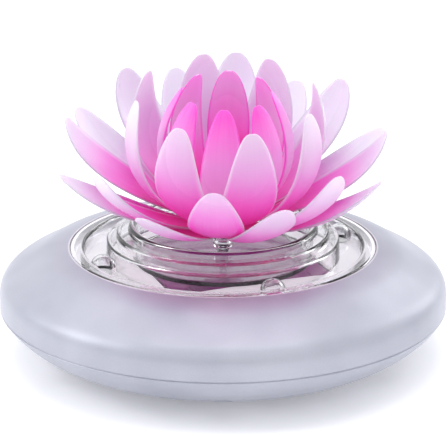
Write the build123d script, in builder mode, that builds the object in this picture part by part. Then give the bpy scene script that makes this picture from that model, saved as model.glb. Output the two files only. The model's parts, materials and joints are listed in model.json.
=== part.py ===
"""Solar floating pool light: a round two-part hull, a clear stepped cover and a lotus flower on a ball stem.

Millimetres. The origin is the centre of the foot that it stands on, and +Z is up.
The flower leans towards -Y.
"""

import os
from math import cos, pi, radians, sin

from build123d import *

os.makedirs("parts", exist_ok=True)

# ---------------------------------------------------------------- driving dimensions

# Hull
hull_radius = 92.5
foot_radius = 50.0
seam_z = 21.0
shoulder_z = 26.0
wall = 2.2
seam_chamfer = 0.4
flange_inner_radius = 83.0
flange_thickness = 3.0
opening_radius = 63.4
opening_top_z = 45.2
ledge_inner_radius = 59.5
ledge_top_z = 38.0
ledge_thickness = 1.8
seal_wire_radius = 0.95
seal_circle_radius = 87.5
seal_groove_clearance = 0.1
bilge_points = ((75.0, 6.2), (87.5, 14.6))
inner_bilge_point = (73.0, 8.4)
inner_bilge_top_z = 14.6
dome_points = ((83.3, 36.9), (74.2, 42.2))
dome_end_slope = 0.12
inner_dome_points = ((81.8, 34.9), (73.0, 39.9))
inner_dome_top_z = 42.2
overcut = 1.0

# Screws that clamp the two hull halves
screw_circle_radius = 76.0
screw_count = 6
screw_start_angle = 30.0
lower_boss_radius = 5.5
upper_boss_radius = 4.0
screw_head_radius = 3.2
screw_head_height = 2.2
screw_seat_z = 12.0
screw_tip_z = 34.0
screw_radius = 1.45
screw_head_clearance = 0.4
screw_shank_clearance = 0.25
screw_thread_clearance = 0.05
upper_boss_height = 25.0
# A screw's cross recess, as shares of its head's radius and height
recess_length_share = 1.1
recess_width_share = 0.26
recess_depth_share = 0.5

# Battery bay in the foot, closed by a quarter-turn cap
neck_radius = 40.0
neck_top_z = 9.6
cap_recess_radius = 36.4
cap_recess_z = 3.6
cap_bore_radius = 31.0
cap_ledge_top_z = 6.4
lug_channel_radius = 34.0
lug_count = 3
lug_notch_size = (10.0, 17.0)
cap_flange_radius = 36.0
cap_flange_bottom_z = 0.6
cap_flange_top_z = 2.6
cap_plug_radius = 30.5
cap_lug_radius = 33.4
cap_lug_bottom_z = 6.7
cap_lug_size = (8.0, 15.0)
cap_lug_start_angle = 60.0
cap_lug_overlap = 1.0
cap_top_z = 8.9
cap_floor_z = 4.6
cap_plug_wall = 2.2
cap_rounding = 0.6
coin_slot_length = 26.0
coin_slot_width = 2.6
dimple_radius = 6.0
dimple_spacing = 34.0
cap_mark_depth = 1.4
cap_seal_thickness = 0.8
cap_seal_inset = 0.3
cap_seal_gap = 0.4

# Battery holder and its two AA cells
holder_flange_radius = 39.0
holder_flange_thickness = 1.6
bay_length = 57.0
bay_width = 31.0
bay_top_z = 25.6
holder_wall = 1.6
holder_screw_circle_radius = (lug_channel_radius + neck_radius) / 2
holder_screw_count = 3
holder_screw_start_angle = 90.0
holder_screw_hole_radius = 1.15
holder_pilot_radius = 1.0
holder_pilot_depth = 4.4
standoff_radius = 2.6
standoff_pilot_radius = 1.0
cell_radius = 7.05
cell_length = 50.5
cell_shoulder = 0.6
nub_radius = 2.6
nub_length = 1.3
cell_offset = 7.4
cell_z = 18.4
plate_thickness = 0.5
plate_width = 28.0
plate_height = 11.0
contact_wire_radius = 0.35
contact_coil_radius = 3.2
contact_coil_turns = 4
contact_face_x = bay_length / 2 - plate_thickness

# Circuit board on the holder's standoffs
board_length = 50.0
board_width = 34.0
board_thickness = 1.6
board_z = 29.0
board_corner_radius = 2.0
board_screw_x = 20.0
board_screw_y = 13.5
board_screw_hole_radius = 1.3
chip_place = (-9.0, -4.0)
chip_size = (8.0, 5.0)
chip_thickness = 1.5
chip_standoff = 0.3
chip_leg_count = 5
chip_leg_pitch = 1.6
chip_leg_span = 6.4
chip_leg_size = (0.6, 1.8)
chip_leg_height = 0.5
capacitor_place = (8.0, -6.0)
capacitor_radius = 2.5
capacitor_height = 3.6
capacitor_rounding = 0.5
inductor_place = (0.0, 3.0)
inductor_side = 6.0
inductor_corner_radius = 1.5
inductor_height = 2.6

# Power button in the hull's underside
button_y = 58.0
button_radius = 4.5
button_bore_radius = 4.8
button_tip_z = 1.2
button_chamber_radius = 7.2
button_chamber_floor_z = 8.6
button_boss_radius = 8.6
button_boss_top_z = 14.0
button_rounding = 0.8
button_seal_thickness = 0.4
button_seal_inset = 0.2
button_flange_radius = 6.5
button_flange_thickness = 1.5
plunger_radius = 2.0
plunger_length = 6.0
plunger_clearance = 0.35
switch_side = 11.0
switch_top_z = 21.0
switch_flange_inset = 0.3
switch_flange_thickness = 1.4
switch_bore_depth = 5.0
button_wire_radius = 0.3
button_coil_radius = 3.4
button_coil_turns = 3

# Clear stepped cover
cover_radius = 63.1
cover_rim_bottom_z = 39.0
cover_rim_top_z = 45.4
rim_inner_radius = 57.4
cover_floor_z = 41.0
cover_underside_z = 39.9
step_radius = 48.0
step_z = 48.8
second_step_radius = 43.9
second_step_z = 52.0
crest_outer_radius = 38.9
crest_inner_radius = 35.8
crest_z = 54.6
crest_drop = 0.9
cover_wall = 1.6
cover_rounding = 0.8
rim_rounding = 1.2
riser_draft = 0.3
stem_boss_radius = 3.3
stem_boss_top_z = 42.4
stem_socket_radius = 1.6
stem_socket_floor_z = 40.5
cover_seal_gap = 0.4

# Solar panel and its tray
panel_side = 70.0
panel_turn = 22.0
panel_bottom_z = 37.3
panel_board_thickness = 1.0
cell_layer_thickness = 0.4
laminate_thickness = 1.0
laminate_chamfer = 0.3
strip_count = 8
strip_pitch = 8.4
strip_width = 8.0
strip_length = 66.0
tray_radius = 61.0
tray_top_z = 39.6
tray_bottom_z = ledge_top_z
tray_wall = 1.6
panel_gap = 0.3
panel_lead_y = 8.0
panel_lead_hole_radius = 3.2

# Light-emitting diodes between the panel and the rim, in blisters of the cover
led_count = 4
led_circle_radius = 52.5
led_radius = 4.0
led_dome_z = 42.2
led_flange_radius = 4.8
led_flange_height = 1.2
led_bottom_z = 36.6
led_leg_radius = 0.3
led_leg_offset = 1.27
led_leg_clearance = 0.15
led_leg_protrusion = 0.6
blister_radius = 5.3
blister_bore_radius = 4.4
led_board_inner_radius = 44.0
led_board_outer_radius = 58.5
led_board_z = 33.2
led_board_thickness = 1.4
led_post_radius = 2.6
led_post_circle_radius = 53.0
led_post_start_angle = panel_turn + 180 / led_count
led_post_hole_radius = 1.2
led_pilot_radius = 0.95
led_pilot_depth = 3.0

# The small screws: head radius, head height, shank radius, shank length
led_board_screw = (2.0, 1.3, 0.9, 3.6)
circuit_board_screw = (2.1, 1.4, 0.95, 3.0)
holder_screw = (1.9, 1.3, 0.95, 5.4)

# Insulated leads
lead_radius = 0.6
lead_bend = 1.2
switch_lead_bend = 1.4

# Ball stem, and the lean of the flower on it
ball_z = 46.1
ball_radius = 2.2
ball_clearance = 0.1
post_radius = 2.3
post_foot_radius = 1.55
neck_cone_length = 3.0
neck_pin_length = 2.3
neck_pin_radius = 1.1
lean_angle = 11.2
lean_azimuth = -83.6

# Flower hub, measured along the leaning axis from the ball's centre
socket_radius = 4.2
socket_bottom = -1.6
socket_top = 2.8
socket_rounding = 1.0
socket_mouth_radius = 1.85
spigot_radius = 2.2
spigot_bore_radius = 1.2
spigot_root = 2.3
spigot_floor = 3.4
spigot_top = 12.6
bush_inner_radius = 2.3
bush_outer_radius = 3.1
bush_top = 13.0
hub_bottom = 7.0
hub_flange_radius = 8.4
hub_flange_thickness = 1.4
barrel_inner_radius = 3.2
barrel_outer_radius = 4.4
ring_bore_radius = 4.5
ring_disc_radii = (9.4, 8.6, 7.9, 7.2)
ring_disc_thickness = 1.6
finial_flange_radius = 6.2
finial_flange_height = 1.2
finial_radius = 5.0
finial_height = 2.6
finial_taper = 22.0
finial_plug_length = 1.0
finial_plug_clearance = 0.05

# Petals
petal_count = 8
petal_pitch = 360 / petal_count
petal_thickness = 1.0
petal_base_share = 0.72
petal_fullness = 1.3
petal_tip_width = 2.0
tip_roundness = 0.55
widest_at = 0.6
petal_stations = (0, 0.14, 0.28, 0.42, 0.56, 0.7, 0.81, 0.89, 0.95, 0.985, 1)


# ---------------------------------------------------------------- helpers


def save(piece, name):
    """Label a finished piece and write its STEP file."""
    piece.part.label = name
    export_step(piece.part, f"parts/{name}.step")


def level(height):
    """The horizontal plane at a height."""
    return Plane.XY.offset(height)


def panel_level(height):
    """The horizontal plane at a height, turned with the solar panel."""
    turn = radians(panel_turn)
    return Plane(origin=(0, 0, height), x_dir=(cos(turn), sin(turn), 0), z_dir=(0, 0, 1))


def polar(radius, azimuth, height):
    """A point from its radius, its azimuth in degrees and its height."""
    angle = radians(azimuth)
    return (radius * cos(angle), radius * sin(angle), height)


def ring_points(radius, count, start_angle):
    """Evenly spaced points on a circle, as (x, y)."""
    return [polar(radius, start_angle + n * 360 / count, 0)[:2] for n in range(count)]


def holder_screw_points():
    """Where the battery holder is screwed to the neck, as (x, y)."""
    return ring_points(holder_screw_circle_radius, holder_screw_count, holder_screw_start_angle)


def led_post_points():
    """Where the diodes' board is screwed to the tray's posts, as (x, y)."""
    return ring_points(led_post_circle_radius, led_count, led_post_start_angle)


def wire(points, bend, name):
    """An insulated lead: straight runs joined by bends of one radius."""
    with BuildPart() as lead:
        with BuildLine():
            route = FilletPolyline(*points, radius=bend)
        with BuildSketch(Plane(origin=route @ 0, z_dir=route % 0)):
            Circle(lead_radius)
        sweep()
    save(lead, name)


def coil(start, direction, height, radius, wire_radius, turns):
    """A helical spring's solid, from its first wire centre along a direction."""
    with BuildPart() as spring:
        with BuildLine():
            path = Helix(height / turns, height, radius, center=start, direction=direction)
        with BuildSketch(Plane(origin=path @ 0, z_dir=path % 0)):
            Circle(wire_radius)
        sweep(is_frenet=True)
    return spring.part


# ---------------------------------------------------------------- hull


def lower_cavity():
    """The space inside the lower hull, which leaves its screw bosses, neck and button boss standing."""
    with BuildPart() as cavity:
        with BuildSketch(Plane.XZ):
            with BuildLine():
                Polyline(
                    (foot_radius - wall, wall),
                    (0, wall),
                    (0, seam_z + overcut),
                    (flange_inner_radius, seam_z + overcut),
                    (flange_inner_radius, inner_bilge_top_z),
                )
                Spline(
                    (flange_inner_radius, inner_bilge_top_z),
                    inner_bilge_point,
                    (foot_radius - wall, wall),
                )
            make_face()
        revolve(axis=Axis.Z)
        with BuildSketch(level(0)):
            with PolarLocations(screw_circle_radius, screw_count, start_angle=screw_start_angle):
                Circle(lower_boss_radius)
        extrude(amount=seam_z, mode=Mode.SUBTRACT)
        with BuildSketch(level(0)):
            Circle(neck_radius)
        extrude(amount=neck_top_z, mode=Mode.SUBTRACT)
        with BuildSketch(level(0)):
            with Locations((0, button_y)):
                Circle(button_boss_radius)
        extrude(amount=button_boss_top_z, mode=Mode.SUBTRACT)
    return cavity.part


def make_lower_hull():
    with BuildPart() as lower_hull:
        with BuildSketch(Plane.XZ):
            with BuildLine():
                Polyline((0, seam_z), (0, 0), (foot_radius, 0))
                Spline((foot_radius, 0), *bilge_points, (hull_radius, seam_z - seam_chamfer))
                Polyline(
                    (hull_radius, seam_z - seam_chamfer),
                    (hull_radius - seam_chamfer, seam_z),
                    (0, seam_z),
                )
            make_face()
        revolve(axis=Axis.Z)
        add(lower_cavity(), mode=Mode.SUBTRACT)
        # Groove for the hull seal
        with BuildSketch(level(seam_z)):
            Circle(seal_circle_radius + seal_wire_radius + seal_groove_clearance)
            Circle(seal_circle_radius - seal_wire_radius - seal_groove_clearance, mode=Mode.SUBTRACT)
        extrude(amount=-2 * seal_wire_radius, mode=Mode.SUBTRACT)
        # Screw holes, counterbored from below
        with BuildSketch(level(0)):
            with PolarLocations(screw_circle_radius, screw_count, start_angle=screw_start_angle):
                Circle(screw_head_radius + screw_head_clearance)
        extrude(amount=screw_seat_z, mode=Mode.SUBTRACT)
        with BuildSketch(level(screw_seat_z)):
            with PolarLocations(screw_circle_radius, screw_count, start_angle=screw_start_angle):
                Circle(screw_radius + screw_shank_clearance)
        extrude(amount=seam_z - screw_seat_z, mode=Mode.SUBTRACT)
        # Battery opening: recess for the cap's flange, ledge for its lugs, and the lugs' channel
        with BuildSketch(level(0)):
            Circle(cap_recess_radius)
        extrude(amount=cap_recess_z, mode=Mode.SUBTRACT)
        with BuildSketch(level(cap_recess_z)):
            Circle(cap_bore_radius)
            with PolarLocations(cap_bore_radius, lug_count):
                Rectangle(*lug_notch_size)
            Circle(lug_channel_radius, mode=Mode.INTERSECT)
        extrude(amount=cap_ledge_top_z - cap_recess_z, mode=Mode.SUBTRACT)
        with BuildSketch(level(cap_ledge_top_z)):
            Circle(lug_channel_radius)
        extrude(amount=neck_top_z - cap_ledge_top_z, mode=Mode.SUBTRACT)
        with BuildSketch(level(neck_top_z)):
            with Locations(*holder_screw_points()):
                Circle(holder_pilot_radius)
        extrude(amount=-holder_pilot_depth, mode=Mode.SUBTRACT)
        # Button bore and the chamber for its flange
        with BuildSketch(level(0)):
            with Locations((0, button_y)):
                Circle(button_bore_radius)
        extrude(amount=button_chamber_floor_z, mode=Mode.SUBTRACT)
        with BuildSketch(level(button_chamber_floor_z)):
            with Locations((0, button_y)):
                Circle(button_chamber_radius)
        extrude(amount=button_boss_top_z - button_chamber_floor_z, mode=Mode.SUBTRACT)
    save(lower_hull, "lower_hull")


def upper_cavity():
    """The space inside the upper hull, which leaves its screw bosses standing."""
    flange_top_z = seam_z + flange_thickness
    skin_radius = opening_radius + wall
    ledge_bottom_z = ledge_top_z - ledge_thickness
    with BuildPart() as cavity:
        with BuildSketch(Plane.XZ):
            with BuildLine():
                Polyline(
                    (skin_radius, inner_dome_top_z),
                    (skin_radius, ledge_bottom_z),
                    (ledge_inner_radius - overcut, ledge_bottom_z),
                    (ledge_inner_radius - overcut, seam_z - overcut),
                    (flange_inner_radius, seam_z - overcut),
                    (flange_inner_radius, flange_top_z),
                    (hull_radius - wall, flange_top_z),
                    (hull_radius - wall, shoulder_z),
                )
                Spline((hull_radius - wall, shoulder_z), *inner_dome_points, (skin_radius, inner_dome_top_z))
            make_face()
        revolve(axis=Axis.Z)
        with BuildSketch(level(seam_z)):
            with PolarLocations(screw_circle_radius, screw_count, start_angle=screw_start_angle):
                Circle(upper_boss_radius)
        extrude(amount=upper_boss_height, mode=Mode.SUBTRACT)
    return cavity.part


def make_upper_hull():
    with BuildPart() as upper_hull:
        with BuildSketch(Plane.XZ):
            with BuildLine():
                Polyline(
                    (opening_radius, opening_top_z),
                    (opening_radius, ledge_top_z),
                    (ledge_inner_radius, ledge_top_z),
                    (ledge_inner_radius, seam_z),
                    (hull_radius - seam_chamfer, seam_z),
                    (hull_radius, seam_z + seam_chamfer),
                    (hull_radius, shoulder_z),
                )
                Spline(
                    (hull_radius, shoulder_z),
                    *dome_points,
                    (opening_radius, opening_top_z),
                    tangents=[(0, 1), (-1, dome_end_slope)],
                )
            make_face()
        revolve(axis=Axis.Z)
        add(upper_cavity(), mode=Mode.SUBTRACT)
        with BuildSketch(level(seam_z)):
            with PolarLocations(screw_circle_radius, screw_count, start_angle=screw_start_angle):
                Circle(screw_radius + screw_thread_clearance)
        extrude(amount=screw_tip_z + overcut - seam_z, mode=Mode.SUBTRACT)
    save(upper_hull, "upper_hull")


def make_hull_seal():
    with BuildPart() as hull_seal:
        with BuildSketch(Plane.XZ):
            with Locations((seal_circle_radius, seam_z - seal_wire_radius)):
                Circle(seal_wire_radius)
        revolve(axis=Axis.Z)
    save(hull_seal, "hull_seal")


def cross_headed_screws(points, seat_z, screw, up, name):
    """A group of pan-headed screws. The shank goes up from the seat when up is 1, and down when it is -1.

    screw is one screw's head radius, head height, shank radius and shank length.
    """
    head_radius, head_height, shank_radius, shank_length = screw
    recess_length = recess_length_share * head_radius
    recess_width = recess_width_share * head_radius
    with BuildPart() as screws:
        with BuildSketch(level(seat_z)):
            with Locations(*points):
                Circle(head_radius)
        extrude(amount=-up * head_height)
        with BuildSketch(level(seat_z)):
            with Locations(*points):
                Circle(shank_radius)
        extrude(amount=up * shank_length)
        with BuildSketch(level(seat_z - up * head_height)):
            with Locations(*points):
                Rectangle(recess_length, recess_width)
                Rectangle(recess_width, recess_length)
        extrude(amount=up * recess_depth_share * head_height, mode=Mode.SUBTRACT)
    save(screws, name)


# ---------------------------------------------------------------- clear cover, tray and solar panel


def led_azimuths():
    return [panel_turn - 90 + n * 360 / led_count for n in range(led_count)]


def make_clear_cover():
    with BuildPart() as clear_cover:
        with BuildSketch(Plane.XZ):
            with BuildLine():
                # Upper surface, from the axis out to the rim
                Line((0, cover_floor_z), (crest_inner_radius - cover_rounding, cover_floor_z))
                RadiusArc(
                    (crest_inner_radius - cover_rounding, cover_floor_z),
                    (crest_inner_radius, cover_floor_z + cover_rounding),
                    -cover_rounding,
                )
                Line(
                    (crest_inner_radius, cover_floor_z + cover_rounding),
                    (crest_inner_radius, crest_z - crest_drop),
                )
                ThreePointArc(
                    (crest_inner_radius, crest_z - crest_drop),
                    ((crest_inner_radius + crest_outer_radius) / 2, crest_z),
                    (crest_outer_radius, crest_z - crest_drop),
                )
                Polyline(
                    (crest_outer_radius, crest_z - crest_drop),
                    (crest_outer_radius + riser_draft, second_step_z),
                    (second_step_radius - cover_rounding, second_step_z),
                )
                RadiusArc(
                    (second_step_radius - cover_rounding, second_step_z),
                    (second_step_radius, second_step_z - cover_rounding),
                    cover_rounding,
                )
                Polyline(
                    (second_step_radius, second_step_z - cover_rounding),
                    (second_step_radius + riser_draft, step_z),
                    (step_radius - cover_rounding, step_z),
                )
                RadiusArc(
                    (step_radius - cover_rounding, step_z),
                    (step_radius, step_z - cover_rounding),
                    cover_rounding,
                )
                Polyline(
                    (step_radius, step_z - cover_rounding),
                    (step_radius + riser_draft, cover_floor_z),
                    (rim_inner_radius - riser_draft, cover_floor_z),
                    (rim_inner_radius, cover_rim_top_z - rim_rounding),
                )
                RadiusArc(
                    (rim_inner_radius, cover_rim_top_z - rim_rounding),
                    (rim_inner_radius + rim_rounding, cover_rim_top_z),
                    rim_rounding,
                )
                Line(
                    (rim_inner_radius + rim_rounding, cover_rim_top_z),
                    (cover_radius - rim_rounding, cover_rim_top_z),
                )
                RadiusArc(
                    (cover_radius - rim_rounding, cover_rim_top_z),
                    (cover_radius, cover_rim_top_z - rim_rounding),
                    rim_rounding,
                )
                # Underside, from the rim back to the axis
                Polyline(
                    (cover_radius, cover_rim_top_z - rim_rounding),
                    (cover_radius, cover_rim_bottom_z),
                    (cover_radius - cover_wall, cover_rim_bottom_z),
                    (cover_radius - cover_wall, cover_rim_top_z - cover_wall),
                    (rim_inner_radius + cover_wall, cover_rim_top_z - cover_wall),
                    (rim_inner_radius + cover_wall, cover_underside_z),
                    (step_radius - cover_wall, cover_underside_z),
                    (step_radius - cover_wall, step_z - cover_wall),
                    (second_step_radius - cover_wall, step_z - cover_wall),
                    (second_step_radius - cover_wall, second_step_z - cover_wall),
                    (crest_inner_radius + cover_wall, second_step_z - cover_wall),
                    (crest_inner_radius + cover_wall, cover_underside_z),
                    (0, cover_underside_z),
                    (0, cover_floor_z),
                )
            make_face()
        revolve(axis=Axis.Z)
        # Boss that the stem is pressed into
        with BuildSketch(level(cover_underside_z)):
            Circle(stem_boss_radius)
        extrude(amount=stem_boss_top_z - cover_underside_z)
        with BuildSketch(level(stem_socket_floor_z)):
            Circle(stem_socket_radius)
        extrude(amount=stem_boss_top_z - cover_underside_z, mode=Mode.SUBTRACT)
        # Blisters over the diodes
        for azimuth in led_azimuths():
            with Locations(polar(led_circle_radius, azimuth, cover_underside_z)):
                Cylinder(
                    blister_radius,
                    led_dome_z - cover_underside_z,
                    align=(Align.CENTER, Align.CENTER, Align.MIN),
                )
            with Locations(polar(led_circle_radius, azimuth, led_dome_z)):
                Sphere(blister_radius, arc_size1=0, align=(Align.CENTER, Align.CENTER, Align.MIN))
        for azimuth in led_azimuths():
            with Locations(polar(led_circle_radius, azimuth, cover_underside_z - overcut)):
                Cylinder(
                    blister_bore_radius,
                    led_dome_z - cover_underside_z + overcut,
                    align=(Align.CENTER, Align.CENTER, Align.MIN),
                    mode=Mode.SUBTRACT,
                )
            with Locations(polar(led_circle_radius, azimuth, led_dome_z)):
                Sphere(blister_bore_radius, mode=Mode.SUBTRACT)
    save(clear_cover, "clear_cover")


def make_cover_seal():
    with BuildPart() as cover_seal:
        with BuildSketch(level(ledge_top_z)):
            Circle(cover_radius)
            Circle(tray_radius + cover_seal_gap, mode=Mode.SUBTRACT)
        extrude(amount=cover_rim_bottom_z - ledge_top_z)
    save(cover_seal, "cover_seal")


def make_reflector_tray():
    pocket_side = panel_side + 2 * panel_gap
    frame_side = pocket_side + 2 * tray_wall
    with BuildPart() as reflector_tray:
        with BuildSketch(level(tray_bottom_z)):
            Circle(tray_radius)
        extrude(amount=tray_top_z - tray_bottom_z)
        with BuildSketch(panel_level(panel_bottom_z - tray_wall)):
            Rectangle(frame_side, frame_side)
        extrude(amount=tray_bottom_z - panel_bottom_z + tray_wall)
        with BuildSketch(level(led_board_z + led_board_thickness)):
            with Locations(*led_post_points()):
                Circle(led_post_radius)
        extrude(amount=tray_bottom_z - led_board_z - led_board_thickness)
        with BuildSketch(panel_level(panel_bottom_z)):
            Rectangle(pocket_side, pocket_side)
        extrude(amount=tray_top_z - panel_bottom_z, mode=Mode.SUBTRACT)
        with BuildSketch(level(led_bottom_z - overcut)):
            with Locations(*ring_points(led_circle_radius, led_count, panel_turn)):
                Circle(led_radius + panel_gap)
        extrude(amount=tray_top_z - led_bottom_z + overcut, mode=Mode.SUBTRACT)
        with BuildSketch(level(led_board_z + led_board_thickness)):
            with Locations(*led_post_points()):
                Circle(led_pilot_radius)
        extrude(amount=led_pilot_depth, mode=Mode.SUBTRACT)
        with BuildSketch(level(panel_bottom_z - tray_wall)):
            with Locations((0, panel_lead_y)):
                Circle(panel_lead_hole_radius)
        extrude(amount=tray_wall, mode=Mode.SUBTRACT)
    save(reflector_tray, "reflector_tray")


def make_solar_panel():
    cells_z = panel_bottom_z + panel_board_thickness
    laminate_z = cells_z + cell_layer_thickness
    with BuildPart() as panel_board:
        with BuildSketch(panel_level(panel_bottom_z)):
            Rectangle(panel_side, panel_side)
        extrude(amount=panel_board_thickness)
    save(panel_board, "panel_board")
    with BuildPart() as solar_cells:
        with BuildSketch(panel_level(cells_z)):
            with GridLocations(strip_pitch, 0, strip_count, 1):
                Rectangle(strip_width, strip_length)
        extrude(amount=cell_layer_thickness)
    save(solar_cells, "solar_cells")
    with BuildPart() as panel_laminate:
        with BuildSketch(panel_level(laminate_z)):
            Rectangle(panel_side, panel_side)
        extrude(amount=laminate_thickness)
        top_edges = panel_laminate.edges().group_by(Axis.Z)[-1]
        chamfer(top_edges, laminate_chamfer)
    save(panel_laminate, "panel_laminate")


# ---------------------------------------------------------------- diodes and circuit boards


def make_leds():
    for number, azimuth in enumerate(led_azimuths(), start=1):
        place = Plane(
            origin=polar(led_circle_radius, azimuth, 0),
            x_dir=polar(1, azimuth, 0),
            z_dir=polar(1, azimuth - 90, 0),
        )
        with BuildPart() as led:
            with BuildSketch(place):
                with BuildLine():
                    Polyline(
                        (0, led_dome_z + led_radius),
                        (0, led_bottom_z),
                        (led_flange_radius, led_bottom_z),
                        (led_flange_radius, led_bottom_z + led_flange_height),
                        (led_radius, led_bottom_z + led_flange_height),
                        (led_radius, led_dome_z),
                    )
                    RadiusArc((led_radius, led_dome_z), (0, led_dome_z + led_radius), -led_radius)
                make_face()
            revolve(axis=Axis(place.origin, (0, 0, 1)))
            with BuildSketch(level(led_bottom_z)):
                for side in (-1, 1):
                    with Locations(polar(led_circle_radius + side * led_leg_offset, azimuth, 0)[:2]):
                        Circle(led_leg_radius)
            extrude(amount=led_board_z - led_leg_protrusion - led_bottom_z)
        save(led, f"led_{number}")


def make_led_board():
    with BuildPart() as led_board:
        with BuildSketch(level(led_board_z)):
            Circle(led_board_outer_radius)
            Circle(led_board_inner_radius, mode=Mode.SUBTRACT)
            with Locations(*led_post_points()):
                Circle(led_post_hole_radius, mode=Mode.SUBTRACT)
            for side in (-1, 1):
                leg_circle_radius = led_circle_radius + side * led_leg_offset
                with Locations(*ring_points(leg_circle_radius, led_count, panel_turn)):
                    Circle(led_leg_radius + led_leg_clearance, mode=Mode.SUBTRACT)
        extrude(amount=led_board_thickness)
    save(led_board, "led_board")


def make_circuit_board():
    with BuildPart() as circuit_board:
        with BuildSketch(level(board_z)):
            RectangleRounded(board_length, board_width, board_corner_radius)
            with GridLocations(2 * board_screw_x, 2 * board_screw_y, 2, 2):
                Circle(board_screw_hole_radius, mode=Mode.SUBTRACT)
        extrude(amount=board_thickness)
    save(circuit_board, "circuit_board")
    component_z = board_z + board_thickness
    with BuildPart() as control_chip:
        with BuildSketch(level(component_z + chip_standoff)):
            with Locations(chip_place):
                Rectangle(*chip_size)
        extrude(amount=chip_thickness)
        with BuildSketch(level(component_z)):
            with Locations(chip_place):
                with GridLocations(chip_leg_pitch, chip_leg_span, chip_leg_count, 2):
                    Rectangle(*chip_leg_size)
        extrude(amount=chip_leg_height)
    save(control_chip, "control_chip")
    with BuildPart() as board_capacitor:
        with BuildSketch(level(component_z)):
            with Locations(capacitor_place):
                Circle(capacitor_radius)
        extrude(amount=capacitor_height)
        fillet(board_capacitor.edges().group_by(Axis.Z)[-1], capacitor_rounding)
    save(board_capacitor, "board_capacitor")
    with BuildPart() as board_inductor:
        with BuildSketch(level(component_z)):
            with Locations(inductor_place):
                RectangleRounded(inductor_side, inductor_side, inductor_corner_radius)
        extrude(amount=inductor_height)
    save(board_inductor, "board_inductor")


# ---------------------------------------------------------------- battery


def make_battery_holder():
    outer_length = bay_length + 2 * holder_wall
    outer_width = bay_width + 2 * holder_wall
    with BuildPart() as battery_holder:
        with BuildSketch(level(neck_top_z)):
            Circle(holder_flange_radius)
            Rectangle(bay_length, bay_width, mode=Mode.SUBTRACT)
            with Locations(*holder_screw_points()):
                Circle(holder_screw_hole_radius, mode=Mode.SUBTRACT)
        extrude(amount=holder_flange_thickness)
        with BuildSketch(level(neck_top_z)):
            Rectangle(outer_length, outer_width)
            Rectangle(bay_length, bay_width, mode=Mode.SUBTRACT)
        extrude(amount=bay_top_z - neck_top_z)
        with BuildSketch(level(bay_top_z)):
            Rectangle(outer_length, outer_width)
        extrude(amount=holder_wall)
        with BuildSketch(level(bay_top_z + holder_wall)):
            with GridLocations(2 * board_screw_x, 2 * board_screw_y, 2, 2):
                Circle(standoff_radius)
                Circle(standoff_pilot_radius, mode=Mode.SUBTRACT)
        extrude(amount=board_z - bay_top_z - holder_wall)
    save(battery_holder, "battery_holder")


def make_battery_cells():
    for number, side in ((1, 1), (2, -1)):
        tip_x = side * contact_face_x
        nub_base_x = tip_x - side * nub_length
        end_x = tip_x - side * cell_length
        axis_y = side * cell_offset
        with BuildPart() as cell:
            with BuildSketch(Plane(origin=(0, axis_y, cell_z), z_dir=(0, 0, 1))):
                with BuildLine():
                    Polyline(
                        (end_x, 0),
                        (end_x, cell_radius - cell_shoulder),
                        (end_x + side * cell_shoulder, cell_radius),
                        (nub_base_x - side * cell_shoulder, cell_radius),
                        (nub_base_x, cell_radius - cell_shoulder),
                        (nub_base_x, nub_radius),
                        (tip_x, nub_radius),
                        (tip_x, 0),
                        close=True,
                    )
                make_face()
            revolve(axis=Axis((0, axis_y, cell_z), (1, 0, 0)))
        save(cell, f"battery_cell_{number}")


def make_battery_contacts():
    with BuildPart() as contact_plates:
        for side in (-1, 1):
            with Locations((side * (contact_face_x + plate_thickness / 2), 0, cell_z)):
                Box(plate_thickness, plate_width, plate_height)
    save(contact_plates, "contact_plates")
    coil_length = 2 * contact_face_x - cell_length - 2 * contact_wire_radius
    with BuildPart() as contact_springs:
        for side in (-1, 1):
            start = (side * (contact_face_x - contact_wire_radius), -side * cell_offset, cell_z)
            add(
                coil(
                    start,
                    (-side, 0, 0),
                    coil_length,
                    contact_coil_radius,
                    contact_wire_radius,
                    contact_coil_turns,
                )
            )
    save(contact_springs, "contact_springs")


def make_battery_cap():
    with BuildPart() as battery_cap:
        with BuildSketch(level(cap_flange_bottom_z)):
            Circle(cap_flange_radius)
        extrude(amount=cap_flange_top_z - cap_flange_bottom_z)
        fillet(battery_cap.edges().group_by(Axis.Z)[0], cap_rounding)
        with BuildSketch(level(cap_flange_top_z)):
            Circle(cap_plug_radius)
        extrude(amount=cap_top_z - cap_flange_top_z)
        with BuildSketch(level(cap_lug_bottom_z)):
            with PolarLocations(cap_bore_radius, lug_count, start_angle=cap_lug_start_angle):
                Rectangle(*cap_lug_size)
            Circle(cap_lug_radius, mode=Mode.INTERSECT)
            Circle(cap_plug_radius - cap_lug_overlap, mode=Mode.SUBTRACT)
        extrude(amount=cap_top_z - cap_lug_bottom_z)
        with BuildSketch(level(cap_floor_z)):
            Circle(cap_plug_radius - cap_plug_wall)
        extrude(amount=cap_top_z, mode=Mode.SUBTRACT)
        # Coin slot and two finger dimples
        with BuildSketch(level(cap_flange_bottom_z)):
            SlotOverall(coin_slot_length, coin_slot_width)
            with GridLocations(0, dimple_spacing, 1, 2):
                Circle(dimple_radius)
        extrude(amount=cap_mark_depth, mode=Mode.SUBTRACT)
    save(battery_cap, "battery_cap")
    with BuildPart() as cap_seal:
        with BuildSketch(level(cap_flange_top_z)):
            Circle(cap_flange_radius - cap_seal_inset)
            Circle(lug_channel_radius + cap_seal_gap, mode=Mode.SUBTRACT)
        extrude(amount=cap_seal_thickness)
    save(cap_seal, "cap_seal")


# ---------------------------------------------------------------- power button


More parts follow.
